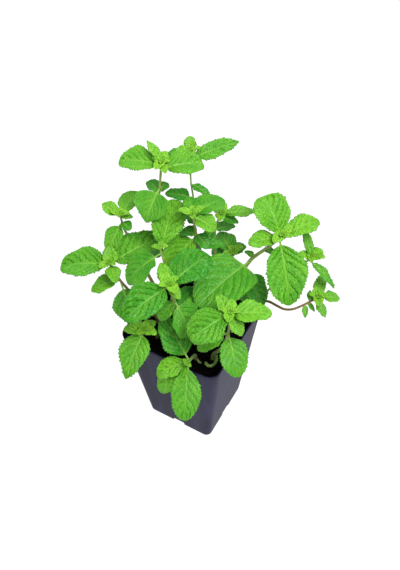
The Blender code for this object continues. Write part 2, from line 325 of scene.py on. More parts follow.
def leafPart(columns, seed, tone, crinkle, widestAt=0.40, blunt=0.60, fineness=1.0):
    # point(s, v) = midrib(s) + fold(s, v) + relief(s, v) * normal, s from petiole to tip, v edge to edge;
    # above and below it lies half the thickness, and the two faces meet at the margin
    shape = leafShape
    dice = np.random.default_rng(seed)
    columns = columns.copy()
    first = columns[1, 2] - columns[0, 2]
    columns[0] -= first / max(np.linalg.norm(first), 1e-9) * shape["petioleRoot"]
    midrib = columns[:, 2]
    steps = np.linalg.norm(np.diff(midrib, axis=0), axis=1)
    length = steps.sum()
    knots = np.concatenate([[0], np.cumsum(steps)]) / length
    rows = int(np.clip(length / shape["alongStep"] * fineness, 26, 124))
    s = np.linspace(0, 1, rows + 2)[1:-1]
    spine = curveThrough(knots, midrib, s, False)
    offsets = [curveThrough(knots, columns[:, k] - midrib, s, True) for k in (0, 1, 3, 4)]
    given = (np.linalg.norm(offsets[0], axis=1) + np.linalg.norm(offsets[3], axis=1)) / 2
    widest = given.max()
    samples = int(np.clip(2 * widest / shape["acrossStep"] * fineness, 15, 71)) // 2 * 2 + 1
    x = np.linspace(-1, 1, samples)
    v = x * (0.8 + 0.2 * x * x)
    bare = knots[2] * shape["petioleKept"]
    blade = (s - bare) / (1 - bare)
    bladeLength = length * (1 - bare)
    power = math.log(0.5) / math.log(widestAt)
    outline = widest * np.sin(np.pi * blade.clip(0, 1) ** power).clip(0) ** blunt
    narrowest = min(shape["petioleHalf"], widest * 0.2) * (1 - 0.9 * smoothstep(0.5, 1, blade))
    outline = np.maximum(outline, narrowest)
    offsets = [offset * (outline / np.maximum(given, 0.05 * mm))[:, None] for offset in offsets]
    along, across = np.meshgrid(blade, v, indexing="ij")
    out = np.abs(across)
    wide = np.maximum(outline, 0.3 * mm)[:, None]
    isBlade = smoothstep(-0.01, 0.06, along)
    isRight = (across > 0).astype(float)

    # margin teeth: each rises slowly towards the tip and drops back quickly
    teeth = max(6, round(bladeLength * 1.1 / shape["toothPitch"]))
    count = along * teeth + 0.35 * hashNoise(along * 9, isRight * 5, seed)
    count = count + np.where(across < 0, dice.random(), dice.random())
    phase, skew = np.mod(count, 1.0), shape["toothSkew"]
    tooth = np.where(phase < skew, phase / skew, (1 - phase) / (1 - skew))
    tooth = tooth * (0.55 + 0.9 * scatter(np.floor(count), isRight, seed))
    size = shape["toothDepth"] * min(1.0, bladeLength / (34 * mm)) * (0.8 + 0.4 * dice.random())
    fading = smoothstep(0.02, 0.14, along) * (1 - smoothstep(0.94, 1.0, along))
    lobes = shape["lobeDepth"] * np.sin(along * 9 + dice.random() * 6 + isRight * 2.1)
    stretch = 1 + (size * (tooth - 0.45) * fading / wide + lobes * isBlade) * smoothstep(0.5, 1.0, out)
    a = np.abs(across * stretch)[..., None]
    half = np.where((across < 0)[..., None], offsets[1][:, None], offsets[2][:, None])
    edge = np.where((across < 0)[..., None], offsets[0][:, None], offsets[3][:, None])
    surface = spine[:, None] + half * 4 * a * (1 - a) + edge * a * (2 * a - 1)

    # side veins leave the midrib, lean forward and arch; a net of small veins closes cells between them
    pairs = shape["pairs"] * (0.72 + 0.28 * min(1.0, bladeLength / (40 * mm)))
    lean = widest / bladeLength * (shape["veinLean"] * out + shape["veinArch"] * out ** 3)
    wander = 0.12 * hashNoise(along * 7, across * 3, seed)
    vein = pairs * (along - lean + 0.5) + isRight * (0.3 + 0.3 * dice.random()) + dice.random() + wander
    nearVein = np.abs(np.mod(vein + 0.5, 1) - 0.5) * bladeLength / pairs
    groove = np.exp(-(nearVein / (0.75 * mm)) ** 2) * (1 - 0.6 * out)
    strip = np.abs(np.sin(np.pi * vein)) ** 0.7
    cellStep = shape["cellSize"] * (0.7 + 0.3 * min(1.0, bladeLength / (40 * mm)))
    cell = cellRise(vein * shape["cellsAStrip"], across * wide * 1.2 / cellStep, seed + 1)
    place = along * bladeLength / shape["crumpleSize"], across * wide / shape["crumpleSize"]
    crumple = hashNoise(place[0], place[1], seed + 3)
    crumple = crumple + 0.5 * hashNoise(place[0] * 2.1, place[1] * 2.1, seed + 5)
    room = smoothstep(0.02, 0.16, out) * (1 - 0.5 * smoothstep(0.85, 1.0, out))
    room = room * (1 - 0.6 * smoothstep(0.88, 1, along))
    strength = crinkle * min(1.0, 0.35 + bladeLength / (45 * mm))
    midVein = np.exp(-(across * wide / (shape["ribWidth"] * (1.25 - 0.7 * along))) ** 2)
    wave = np.sin(along * (8 + 5 * dice.random()) + dice.random() * 6 + isRight * 2.4)
    grown = min(1.0, bladeLength / (36 * mm))
    ruffle = wave * out ** 2 * smoothstep(0.0, 0.2, along) * (1 - smoothstep(0.8, 1, along))
    relief = isBlade * (
        strength * room * (shape["quiltHeight"] * (strip - 0.6) + shape["cellHeight"] * (cell - 0.5)
                           + shape["crumple"] * crumple - shape["veinGroove"] * groove)
        - shape["ribGroove"] * midVein * min(1.0, strength)
        + shape["edgeWave"] * grown * ruffle
        - shape["edgeCurl"] * grown * out ** 5)

    normals = np.cross(np.gradient(surface, axis=1), np.gradient(surface, axis=0))
    normals /= np.maximum(np.linalg.norm(normals, axis=2), 1e-12)[..., None]
    surface = surface + normals * relief[..., None]
    rounded = np.sqrt(np.clip(1 - across ** 2, 0, 1))
    flat = np.clip(1 - out ** 10, 0, 1) ** 0.5
    taper = smoothstep(0, 0.04, s)[:, None] * (1 - smoothstep(0.97, 1.0, s) * 0.7)[:, None]
    thick = (shape["petioleThickness"] * min(1.0, widest / (8 * mm)) * rounded * (1 - isBlade)
             + shape["bladeThickness"] * flat * isBlade) / 2 * taper
    rib = shape["ribDepth"] * min(1.0, length / (40 * mm)) * (1 - along.clip(0, 1)) ** 0.7
    rib = rib * np.exp(-(across * wide / shape["ribWidth"]) ** 2) * isBlade * taper
    sideRib = 0.12 * mm * np.exp(-(nearVein / (0.45 * mm)) ** 2) * isBlade * min(1.0, strength) * flat
    upper = surface + normals * thick[..., None]
    lower = surface - normals * (thick + rib + sideRib)[..., None]
    rings = np.concatenate([upper, lower[:, -2:0:-1]], axis=1)
    rings[:, 0], rings[:, samples - 1] = (upper[:, 0] + lower[:, 0]) / 2, (upper[:, -1] + lower[:, -1]) / 2
    points, quads, triangles = ringMesh(rings, columns[0, 2], columns[-1, 2])

    def field(top, bottom, first, last):
        body = np.concatenate([top, bottom[:, -2:0:-1]], axis=1)
        return np.concatenate([body.ravel(), [first, last]])

    thinVein = np.exp(-(nearVein / (0.24 * mm)) ** 2) * (1 - out) * 0.9
    pale = np.maximum(midVein * (1 - 0.75 * along.clip(0, 1)), thinVein) * isBlade + (1 - isBlade)
    # how raised each point is; low values later darken the colour as painted shade in the hollows
    raised = (0.25 + 0.75 * cell) * (1 - 0.7 * groove)
    raised = (raised * room + (1 - room) * 0.6) * isBlade + (1 - isBlade) * 0.6
    ones = np.ones_like(along)
    fields = {
        "vein": field(pale, pale, 1, 0),
        "under": field(ones * 0, ones, 0, 0),
        "tone": np.full(len(points), tone),
        "swell": field(raised, raised, 0.6, 0.6),
    }
    return points, quads, triangles, fields


# Every leaf's tone (0 old and blue-green, 1 young and yellow-green), how strongly it is quilted, how far
# along its blade is widest, and how pointed its outline is
leafCharacter = {
    "a1": (0.40, 1.0, 0.52, 0.45), "a2": (0.42, 0.9, 0.50, 0.5), "a3": (0.25, 0.5, 0.32, 0.8),
    "b1": (0.65, 1.0, 0.48, 0.85), "b2": (0.40, 0.7, 0.45), "b3": (0.38, 0.6, 0.40),
    "c1": (0.30, 1.4, 0.48, 0.42), "c2": (0.35, 1.6, 0.46, 0.5), "c3": (0.45, 0.7, 0.40),
    "c4": (0.20, 0.7, 0.40), "e1": (0.50, 1.6, 0.50, 0.5), "e2": (0.20, 0.8, 0.42),
    "f1": (0.20, 0.5, 0.45), "f2": (0.55, 1.4, 0.45, 0.5), "f3": (0.50, 0.9, 0.45, 0.55),
    "f4": (0.10, 0.6, 0.40), "g1": (0.45, 0.5, 0.42, 0.85), "g2": (0.05, 0.5, 0.40),
    "h1": (0.30, 0.7, 0.42, 0.75), "h2": (0.15, 0.8, 0.45), "h3": (0.05, 0.7, 0.40),
    "i1": (0.45, 1.0, 0.60, 0.45), "i2": (0.60, 1.1, 0.52, 0.55), "i3": (0.55, 1.2, 0.45),
    "i4": (0.35, 1.3, 0.46, 0.65), "i5": (0.22, 0.75, 0.34, 0.5), "i6": (0.12, 0.6, 0.40),
    "k1": (0.45, 0.8, 0.4, 0.75), "k2": (0.4, 0.7, 0.4, 0.8), "l1": (0.30, 0.6, 0.40, 0.9),
    "m1": (0.18, 1.6, 0.45, 0.55), "m2": (0.10, 1.7, 0.50, 0.55), "m3": (0.25, 0.8, 0.40),
    "n1": (0.35, 1.6, 0.50, 0.52), "n2": (0.55, 0.9, 0.40), "n3": (0.28, 0.5, 0.42),
    "n4": (0.30, 0.6, 0.40), "o1": (0.30, 0.7, 0.48, 0.6), "o2": (0.60, 1.3, 0.45),
    "o3": (0.15, 0.8, 0.38, 0.85), "p1": (0.35, 0.8, 0.34, 0.8), "q1": (0.20, 0.8, 0.40),
    "q2": (0.15, 0.8, 0.40),
}

# shade is a painted shade colour laid into the hollows between the leaf's swellings
leafColours = {
    "old": "#2c9217", "young": "#8fd42c", "vein": "#a4d25c", "under": "#7fae62", "shade": "#124c08",
    "blotch": 9 * mm, "grain": 0.6 * mm, "gloss": 0.43,
}


def freshMintLeaf():
    # fresh leaf blade, grown quilted: pale midrib, painted shade darkening the hollows between swellings,
    # soft sheen, some light passing through
    look = leafColours
    material, tree, shader = newMaterial("freshMintLeaf", {
        "Roughness": look["gloss"], "IOR": 1.45, "Specular IOR Level": 0.42,
        "Subsurface Weight": 0.10, "Subsurface Radius": (0.35, 1.0, 0.12), "Subsurface Scale": 0.8 * mm,
        "Sheen Weight": 0.03, "Sheen Roughness": 0.5})
    coords = addNode(tree, "ShaderNodeTexCoord", {}).outputs["Object"]
    tone = addNode(tree, "ShaderNodeAttribute", {"attribute_name": "tone"}).outputs["Fac"]
    vein = addNode(tree, "ShaderNodeAttribute", {"attribute_name": "vein"}).outputs["Fac"]
    under = addNode(tree, "ShaderNodeAttribute", {"attribute_name": "under"}).outputs["Fac"]
    swell = addNode(tree, "ShaderNodeAttribute", {"attribute_name": "swell"}).outputs["Fac"]
    blotch = addNode(tree, "ShaderNodeTexNoise", {"Scale": 1 / look["blotch"], "Detail": 3.0},
                     {"Vector": coords})
    grain = addNode(tree, "ShaderNodeTexNoise", {"Scale": 1 / look["grain"], "Detail": 4.0},
                    {"Vector": coords})
    shifted = addNode(tree, "ShaderNodeMath", {"operation": "MULTIPLY_ADD", 1: 0.6, 2: -0.3},
                      {0: blotch.outputs["Fac"]})
    age = addNode(tree, "ShaderNodeMath", {"operation": "ADD", "use_clamp": True},
                  {0: tone, 1: shifted.outputs[0]})
    body = addNode(tree, "ShaderNodeMix",
                   {"data_type": "RGBA", 6: linear(look["old"]), 7: linear(look["young"])},
                   {0: age.outputs[0]})
    # painted shade: the less raised a point, the more its colour moves towards the shade colour
    paintedHollowShade = addNode(tree, "ShaderNodeMath",
                     {"operation": "MULTIPLY_ADD", 1: -0.80, 2: 0.60, "use_clamp": True}, {0: swell})
    shaded = addNode(tree, "ShaderNodeMix", {"data_type": "RGBA", 7: linear(look["shade"])},
                     {0: paintedHollowShade.outputs[0], 6: body.outputs[2]})
    veinShare = addNode(tree, "ShaderNodeMath", {"operation": "MULTIPLY", 1: 0.62}, {0: vein})
    veined = addNode(tree, "ShaderNodeMix", {"data_type": "RGBA", 7: linear(look["vein"])},
                     {0: veinShare.outputs[0], 6: shaded.outputs[2]})
    underShare = addNode(tree, "ShaderNodeMath", {"operation": "MULTIPLY", 1: 0.6}, {0: under})
    faced = addNode(tree, "ShaderNodeMix", {"data_type": "RGBA", 7: linear(look["under"])},
                    {0: underShare.outputs[0], 6: veined.outputs[2]})
    tree.links.new(faced.outputs[2], shader.inputs["Base Color"])
    bump = addNode(tree, "ShaderNodeBump", {"Strength": 0.22, "Distance": 0.12 * mm},
                   {"Height": grain.outputs["Fac"]})
    tree.links.new(bump.outputs[0], shader.inputs["Normal"])
    return material


stemShape = {
    "alongStep": 0.8 * mm, "around": 24, "corner": 0.07, "sink": 3.0 * mm,
    "nodeSwell": 0.28, "nodeSpan": 1.3 * mm, "tipTaper": 0.75,
}

# How red each stem is at its foot and at its tip
stemFlush = {
    "a": (0.75, 0.35), "b": (0.8, 0.5), "c": (0.9, 0.6), "e": (0.6, 0.3), "f": (0.6, 0.35),
    "g": (0.8, 0.45), "h": (0.5, 0.1), "i": (0.3, 0.4), "k": (0.9, 1.0), "l": (0.5, 0.15),
    "m": (0.5, 0.3), "n": (0.25, 0.3), "o": (0.15, 0.25), "p": (0.3, 0.2), "q": (0.6, 0.3),
}


def stemPart(centres, radii, joints, flush):
    # point(s, turn) = path(s) + radius(s) * squarish(turn), squarish being a circle bulging at four corners
    shape = stemShape
    rise = centres[1] - centres[0]
    foot = centres[0] - rise / np.linalg.norm(rise) * shape["sink"]
    path = np.vstack([foot, centres])
    radii = np.concatenate([radii[:1], radii])
    steps = np.linalg.norm(np.diff(path, axis=0), axis=1)
    length = steps.sum()
    knots = np.concatenate([[0], np.cumsum(steps)]) / length
    rows = max(16, int(length / shape["alongStep"]))
    s = np.linspace(0, 1, rows)
    line = curveThrough(knots, path, s, False)
    thick = np.interp(s, knots, radii)
    for joint in joints:
        away = np.linalg.norm(line - joint, axis=1) / shape["nodeSpan"]
        thick = thick * (1 + shape["nodeSwell"] * np.exp(-away ** 2))
    thick = thick * (1 - (1 - shape["tipTaper"]) * smoothstep(0.94, 1, s))
    ahead = np.gradient(line, axis=0)
    ahead /= np.linalg.norm(ahead, axis=1)[:, None]
    aside = np.cross(ahead, [0.31, 0.95, 0.05])
    aside /= np.linalg.norm(aside, axis=1)[:, None]
    third = np.cross(ahead, aside)
    turn = np.linspace(0, 2 * np.pi, shape["around"], endpoint=False)
    reach = thick[:, None] * (1 + shape["corner"] * np.cos(4 * turn))
    outward = np.cos(turn)[None, :, None] * aside[:, None] + np.sin(turn)[None, :, None] * third[:, None]
    rings = line[:, None] + reach[..., None] * outward
    points, quads, triangles = ringMesh(rings, line[0], line[-1] + ahead[-1] * thick[-1] * 0.6)
    red = flush[0] + (flush[1] - flush[0]) * s
    fields = {"flush": np.concatenate([np.repeat(red, shape["around"]), [flush[0], flush[1]]])}
    return (points, quads, triangles, fields), line


stemColours = {"green": "#86b04e", "red": "#7d4a34", "pale": "#b9cf8a", "streak": 0.9 * mm, "gloss": 0.38}


def freshMintStem():
    # living stem, square, slightly translucent: green flushed reddish brown, with fine lengthwise mottling
    look = stemColours
    material, tree, shader = newMaterial("freshMintStem", {
        "Roughness": look["gloss"], "IOR": 1.45, "Specular IOR Level": 0.5,
        "Subsurface Weight": 0.15, "Subsurface Radius": (0.8, 1.0, 0.3), "Subsurface Scale": 1.0 * mm,
        "Sheen Weight": 0.15, "Sheen Roughness": 0.4})
    coords = addNode(tree, "ShaderNodeTexCoord", {}).outputs["Object"]
    flush = addNode(tree, "ShaderNodeAttribute", {"attribute_name": "flush"}).outputs["Fac"]
    turned = addNode(tree, "ShaderNodeMapping", {"Scale": (1.0, 1.0, 0.25)}, {"Vector": coords})
    streak = addNode(tree, "ShaderNodeTexNoise", {"Scale": 1 / look["streak"], "Detail": 3.0},
                     {"Vector": turned.outputs[0]})
    blotch = addNode(tree, "ShaderNodeTexNoise", {"Scale": 1 / (7 * mm), "Detail": 2.0}, {"Vector": coords})
    shifted = addNode(tree, "ShaderNodeMath", {"operation": "MULTIPLY_ADD", 1: 1.2, 2: -0.6},
                      {0: blotch.outputs["Fac"]})
    share = addNode(tree, "ShaderNodeMath", {"operation": "ADD", "use_clamp": True},
                    {0: flush, 1: shifted.outputs[0]})
    body = addNode(tree, "ShaderNodeMix",
                   {"data_type": "RGBA", 6: linear(look["green"]), 7: linear(look["red"])},
                   {0: share.outputs[0]})
    light = addNode(tree, "ShaderNodeMath",
                    {"operation": "MULTIPLY_ADD", 1: 0.5, 2: -0.12, "use_clamp": True},
                    {0: streak.outputs["Fac"]})
    mixed = addNode(tree, "ShaderNodeMix", {"data_type": "RGBA", 7: linear(look["pale"])},
                    {0: light.outputs[0], 6: body.outputs[2]})
    tree.links.new(mixed.outputs[2], shader.inputs["Base Color"])
    bump = addNode(tree, "ShaderNodeBump", {"Strength": 0.3, "Distance": 0.1 * mm},
                   {"Height": streak.outputs["Fac"]})
    tree.links.new(bump.outputs[0], shader.inputs["Normal"])
    return material


leafMaterial = freshMintLeaf()
stemMaterial = freshMintStem()

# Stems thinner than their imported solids, as a share of the radius
stemSlender = {"h": 0.75, "l": 0.8}

stemLines = {}
leafNodes = sorted(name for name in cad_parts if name.startswith("leaf_"))
leafLines = {name[5:]: leafColumns(name) for name in leafNodes}
for name in sorted(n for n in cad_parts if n.startswith("stem_")):
    key = name[5:]
    joints = [columns[0, 2] for leaf, columns in leafLines.items() if leaf[0] == key]
    centres, radii = stemCentres(name)
    part, line = stemPart(centres, radii * stemSlender.get(key, 1), joints, stemFlush[key])
    stemLines[key] = line
    addPiece("stem" + key.upper(), part, stemMaterial, [name])
print("stems:", len(stemLines))

for number, (key, columns) in enumerate(leafLines.items()):
    part = leafPart(columns, 100 + number, *leafCharacter[key])
    addPiece("leaf" + key.upper(), part, leafMaterial, ["leaf_" + key])
print("large leaves:", len(leafLines))


# Small leaves have no solids of their own, so they are placed along the stems here
smallLeafShape = {"fold": 16.0, "petioleHalf": 0.55 * mm,
                  "bladeStations": (0.07, 0.2, 0.36, 0.54, 0.72, 0.88)}


def plannedColumns(root, heading, pitch, length, width, droop=25, roll=0, petiole=0.12):
    # midrib(s) climbs at pitch + droop * (0.5 - s), and the half width is width / 2 * sin(pi * s^0.72)^0.8
    shape = smallLeafShape
    fine = np.linspace(0, 1, 61)
    slopes = np.radians(pitch + droop * (0.5 - fine))
    turn = math.radians(heading)
    steps = np.stack([np.cos(slopes) * math.cos(turn), np.cos(slopes) * math.sin(turn), np.sin(slopes)], -1)
    spine = np.vstack([[0, 0, 0], np.cumsum(steps[:-1], axis=0)])
    spine = root + spine * length / np.linalg.norm(spine[-1])
    stations = [petiole + (1 - petiole) * t for t in shape["bladeStations"]]
    at = np.array([0.0, 0.02, petiole] + stations + [1.0])
    middle = np.stack([np.interp(at, fine, spine[:, axis]) for axis in range(3)], -1)
    slope = np.radians(pitch + droop * (0.5 - at))
    ahead = np.stack([np.cos(slope) * math.cos(turn), np.cos(slope) * math.sin(turn), np.sin(slope)], -1)
    level = np.array([math.sin(turn), -math.cos(turn), 0.0])
    above = np.cross(level, ahead)
    tilt = math.radians(roll)
    side = level * math.cos(tilt) + above * math.sin(tilt)
    above = above * math.cos(tilt) - level * math.sin(tilt)
    blade = np.clip((at - petiole) / (1 - petiole), 0, 1)
    half = np.maximum(shape["petioleHalf"], width / 2 * np.sin(np.pi * blade ** 0.72) ** 0.8)
    half[0] = half[-1] = 0
    rise = math.tan(math.radians(shape["fold"])) * (blade > 0)
    columns = []
    for across in (-1, -0.5, 0, 0.5, 1):
        lift = rise * half * abs(across) ** 1.3
        columns.append(middle + side * (half * across)[:, None] + above * lift[:, None])
    return np.stack(columns, 1)


def atHeight(key, height):
    # the point of a stem's middle line at a height in millimetres
    line = stemLines[key]
    rising = np.maximum.accumulate(line[:, 2])
    return np.array([np.interp(height * mm, rising, line[:, axis]) for axis in range(3)])


# Each: shoot, height of its node in mm (0 for the tip), heading, pitch, length and width in mm, tone,
# crinkle, how far along it is widest and how pointed it is
smallLeaves = [
    # young pairs around the tips
    ("a", 0, 163, 40, 20, 8, 0.7, 1.0, 0.4, 0.8), ("a", 0, -43, 0, 12, 8, 0.8, 1.0, 0.4, 0.7),
    ("b", 192, 35, -10, 10, 8, 0.7, 1.2, 0.4, 0.7), ("c", 163, 122, 35, 17, 12, 0.55, 1.2, 0.45, 0.7),
    ("c", 163, -42, -12, 17, 12, 0.55, 1.1, 0.4, 0.7), ("f", 0, -134, 30, 13, 9, 0.75, 1.3, 0.4, 0.6),
    ("f", 0, 40, 30, 11, 8, 0.7, 1.2, 0.4, 0.7), ("g", 0, 100, 20, 10, 6, 0.5, 0.8, 0.4, 0.8),
    ("h", 0, 115, 50, 12, 9, 0.6, 0.8, 0.6, 0.6), ("m", 193, 140, 15, 21, 12, 0.6, 1.2, 0.4, 0.75),
    ("m", 193, -12, -30, 12, 9, 0.65, 1.2, 0.4, 0.7), ("n", 178, 156, 25, 18, 12, 0.6, 1.2, 0.42, 0.75),
    ("n", 178, -29, -25, 18, 12, 0.6, 1.2, 0.4, 0.7),
    ("p", 0, -139, 20, 17, 13, 0.6, 1.1, 0.4, 0.7), ("p", 0, 63, 20, 12, 10, 0.5, 1.0, 0.4, 0.7),
    ("l", 0, 139, 45, 22, 8, 0.35, 0.8, 0.5, 0.6), ("l", 0, 47, 30, 11, 11, 0.65, 0.7, 0.5, 0.5),
    ("k", 0, 105, 15, 21, 10, 0.5, 0.8, 0.45, 0.7), ("k", 145, -58, -45, 11, 5, 0.3, 0.6, 0.4, 0.8),
    ("k", 146, 0, -45, 10, 5, 0.25, 0.6, 0.4, 0.8), ("k", 147, 114, 0, 12, 5, 0.2, 0.6, 0.4, 0.8),
    # older leaves lower down, in shade
    ("a", 216, 160, 5, 14.5, 12, 0.1, 0.7, 0.45, 0.55), ("a", 216, 91, 5, 11, 11, 0.1, 0.7, 0.45, 0.55),
    ("b", 184, -23, 0, 12, 10, 0.1, 0.8, 0.45, 0.55), ("b", 150, 55, -20, 26, 18, 0.1, 0.8, 0.4, 0.6),
    ("e", 170, 10, -15, 20, 14, 0.1, 0.9, 0.4, 0.6), ("e", 150, -6, -20, 34, 25, 0.08, 0.7, 0.4, 0.6),
    ("f", 212, 129, 10, 19, 13, 0.2, 0.7, 0.45, 0.6), ("f", 192, 178, -20, 16, 14, 0.08, 0.8, 0.4, 0.6),
    ("f", 192, -19, -25, 15, 12, 0.1, 0.8, 0.4, 0.6), ("g", 178, -115, -35, 14, 11, 0.1, 0.8, 0.4, 0.6),
    ("g", 178, 60, -15, 20, 12, 0.08, 0.8, 0.4, 0.6), ("g", 150, 85, -15, 26, 19, 0.08, 0.8, 0.4, 0.6),
    ("g", 150, -100, -25, 26, 19, 0.06, 0.8, 0.4, 0.6), ("h", 214, -8, -10, 20, 8, 0.15, 0.8, 0.4, 0.7),
    ("h", 201, -61, -30, 9, 9, 0.2, 0.8, 0.4, 0.6), ("h", 178, 118, -10, 25, 17, 0.1, 0.8, 0.4, 0.6),
    ("h", 150, 150, -15, 29, 21, 0.08, 0.8, 0.4, 0.6), ("h", 150, -30, -25, 22, 15, 0.06, 0.8, 0.4, 0.6),
    ("i", 186, 10, -10, 10, 7, 0.1, 0.6, 0.4, 0.7), ("i", 176, -175, 15, 9, 6, 0.1, 0.6, 0.4, 0.7),
    ("i", 140, 30, -35, 25, 18, 0.06, 0.7, 0.4, 0.6), ("m", 150, 100, 10, 25, 18, 0.06, 0.8, 0.4, 0.6),
    ("m", 150, 46, -20, 20, 15, 0.06, 0.8, 0.4, 0.6), ("m", 176, -118, -40, 19, 15, 0.3, 1.2, 0.45, 0.55),
    ("m", 152, 66, 5, 27, 21, 0.35, 0.8, 0.45, 0.55), ("o", 133, -124, -40, 36, 25, 0.40, 0.7, 0.45, 0.6),
]

for number, (key, height, heading, pitch, length, width, *look) in enumerate(smallLeaves):
    root = atHeight(key, height) if height else stemLines[key][-1]
    columns = plannedColumns(root, heading, pitch, length * mm, width * mm)
    part = leafPart(columns, 300 + number, *look, fineness=0.75)
    addPiece("smallLeaf%02d" % (number + 1), part, leafMaterial)
print("small leaves:", len(smallLeaves))


# Tip rosettes: each shoot ends in crossed pairs of ever smaller leaves. Outer pair's heading, and size.
rosettes = {
    "a": (100, 0.9), "b": (20, 0.7), "c": (75, 0.9), "e": (30, 0.55), "f": (-60, 0.62), "g": (110, 0.9),
    "h": (115, 1.0), "i": (80, 1.0), "k": (115, 0.9), "l": (20, 0.9), "m": (-30, 1.0), "n": (110, 0.9),
    "o": (160, 0.4), "p": (0, 1.0), "q": (60, 0.8),
}

# length and width in mm, pitch, droop and heading of each pair against the outer one
rosettePairs = [(12.5, 9.5, 15, 45, 0), (9.5, 7.2, 28, 45, 90), (6.5, 4.8, 45, 40, 15),
                (4.4, 2.8, 66, 30, 100)]
rosetteLook = {"tone": 0.85, "crinkle": 1.5, "fineness": 0.6}


def rosetteParts(key, heading, size, seed):
    look = rosetteLook
    parts = []
    for length, width, pitch, droop, turn in rosettePairs:
        for side in (0, 180):
            columns = plannedColumns(stemLines[key][-1], heading + turn + side, pitch, length * size * mm,
                                     width * size * mm, droop, 0, 0.08)
            parts.append(leafPart(columns, seed + len(parts), look["tone"], look["crinkle"],
                                  fineness=look["fineness"]))
    return parts


for number, (key, (heading, size)) in enumerate(rosettes.items()):
    parts = rosetteParts(key, heading, size, 500 + 10 * number)
    addPiece("tipLeaves" + key.upper(), joinParts(parts), leafMaterial)
print("tip rosettes:", len(rosettes))


potShape = {
    "topHalf": 45 * mm, "bottomHalf": 32 * mm, "topCorner": 10 * mm, "bottomCorner": 5.5 * mm,
    "wall": 1.2 * mm, "footRound": 1.2 * mm, "innerRound": 2.5 * mm, "around": 288, "wallRows": 30,
    "notchWidth": 12 * mm, "notchHeight": 5 * mm, "notchReach": 9 * mm, "slotWidth": 3 * mm,
    "slotHeight": 7 * mm, "slotDrop": 6 * mm, "slotSide": 31 * mm, "slotReach": 8 * mm,
}
potLook = {
    "face": "#10122c", "scuff": "#4c4a6a", "tint": (0.6, 0.66, 1.0, 1.0), "grain": 0.5 * mm,
    "flowMark": 16 * mm, "gloss": 0.46,
}


def squircle(turn, half, corner):
    # a square of half width `half` with corners of radius `corner`, met by the ray at angle `turn`
    c, s = np.abs(np.cos(turn)), np.abs(np.sin(turn))
    flat = half / np.maximum(c, s)
    inner = half - corner
    along = (c + s) * inner
    rounded = along + np.sqrt(np.maximum(corner ** 2 - (2 * inner ** 2 - along ** 2), 0))
    return np.where(np.minimum(c, s) * flat > inner, rounded, flat)


def potRing(turn, inset, height, top):
    # one level ring of the tapering tub, moved in by `inset`
    shape = potShape
    share = height / top
    half = shape["bottomHalf"] + (shape["topHalf"] - shape["bottomHalf"]) * share - inset
    corner = shape["bottomCorner"] + (shape["topCorner"] - shape["bottomCorner"]) * share - inset
    reach = squircle(turn, half, max(corner, 1.5 * mm))
    return np.stack([reach * np.cos(turn), reach * np.sin(turn), np.full_like(turn, height)], -1)


def potPart():
    # a profile carried round the rounded square: from the middle underneath, round the foot, up the wall,
    # over a rim as round as the wall is thick, down inside and across the floor to its middle
    shape = potShape
    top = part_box("pot")[1].z
    bend = np.linspace(0, np.pi / 2, 6)
    foot, inner, wall = shape["footRound"], shape["innerRound"], shape["wall"]
    profile = [(foot * (1 - math.sin(t)), foot * (1 - math.cos(t))) for t in bend]
    profile += [(0.0, z) for z in np.linspace(foot, top - wall / 2, shape["wallRows"])[1:]]
    rim = np.linspace(0, np.pi, 9)[1:]
    profile += [(wall / 2 * (1 - math.cos(t)), top - wall / 2 * (1 - math.sin(t))) for t in rim]
    profile += [(wall, z) for z in np.linspace(top - wall / 2, wall + inner, shape["wallRows"])[1:]]
    profile += [(wall + inner * (1 - math.cos(t)), wall + inner * (1 - math.sin(t))) for t in bend[1:]]
    turn = np.linspace(0, 2 * np.pi, shape["around"], endpoint=False)
    rings = [potRing(turn, inset, z, top) for inset, z in profile]
    under = [rings[0] * [share, share, 1] for share in (0.2, 0.5, 0.8)]
    over = [rings[-1] * [share, share, 1] for share in (0.8, 0.5, 0.2)]
    rings = np.array(under + rings + over)
    points, quads, triangles = ringMesh(rings, np.array([0, 0, 0.0]), np.array([0, 0, rings[-1, 0, 2]]))
    return points, quads, triangles, {}


def boxMesh(size, centre):
    # the eight corners of a box, and its six faces
    sides = (-0.5, 0.5)
    corners = np.array([(x, y, z) for x in sides for y in sides for z in sides]) * size + centre
    faces = np.array([(0, 1, 3, 2), (4, 6, 7, 5), (0, 4, 5, 1), (2, 3, 7, 6), (0, 2, 6, 4), (1, 5, 7, 3)])
    return corners, faces, np.empty((0, 3), int), {}


def cutAway(piece, boxes):
    # takes each box out of the piece, then leaves the piece with its final mesh
    cutters = []
    for number, (size, centre) in enumerate(boxes):
        name = "cutter%d" % number
        cutter = bpy.data.objects.new(name, makeMesh(name, *boxMesh(size, centre)))
        bpy.context.scene.collection.objects.link(cutter)
        cutters.append(cutter)
        cut = piece.modifiers.new("cut%d" % number, "BOOLEAN")
        cut.operation = "DIFFERENCE"
        cut.object = cutter
    view = bpy.context.evaluated_depsgraph_get()
    mesh = bpy.data.meshes.new_from_object(piece.evaluated_get(view))
    piece.modifiers.clear()
    piece.data = mesh
    for cutter in cutters:
        bpy.data.objects.remove(cutter)
    mesh.shade_smooth()
    mesh.set_sharp_from_angle(angle=math.radians(40))


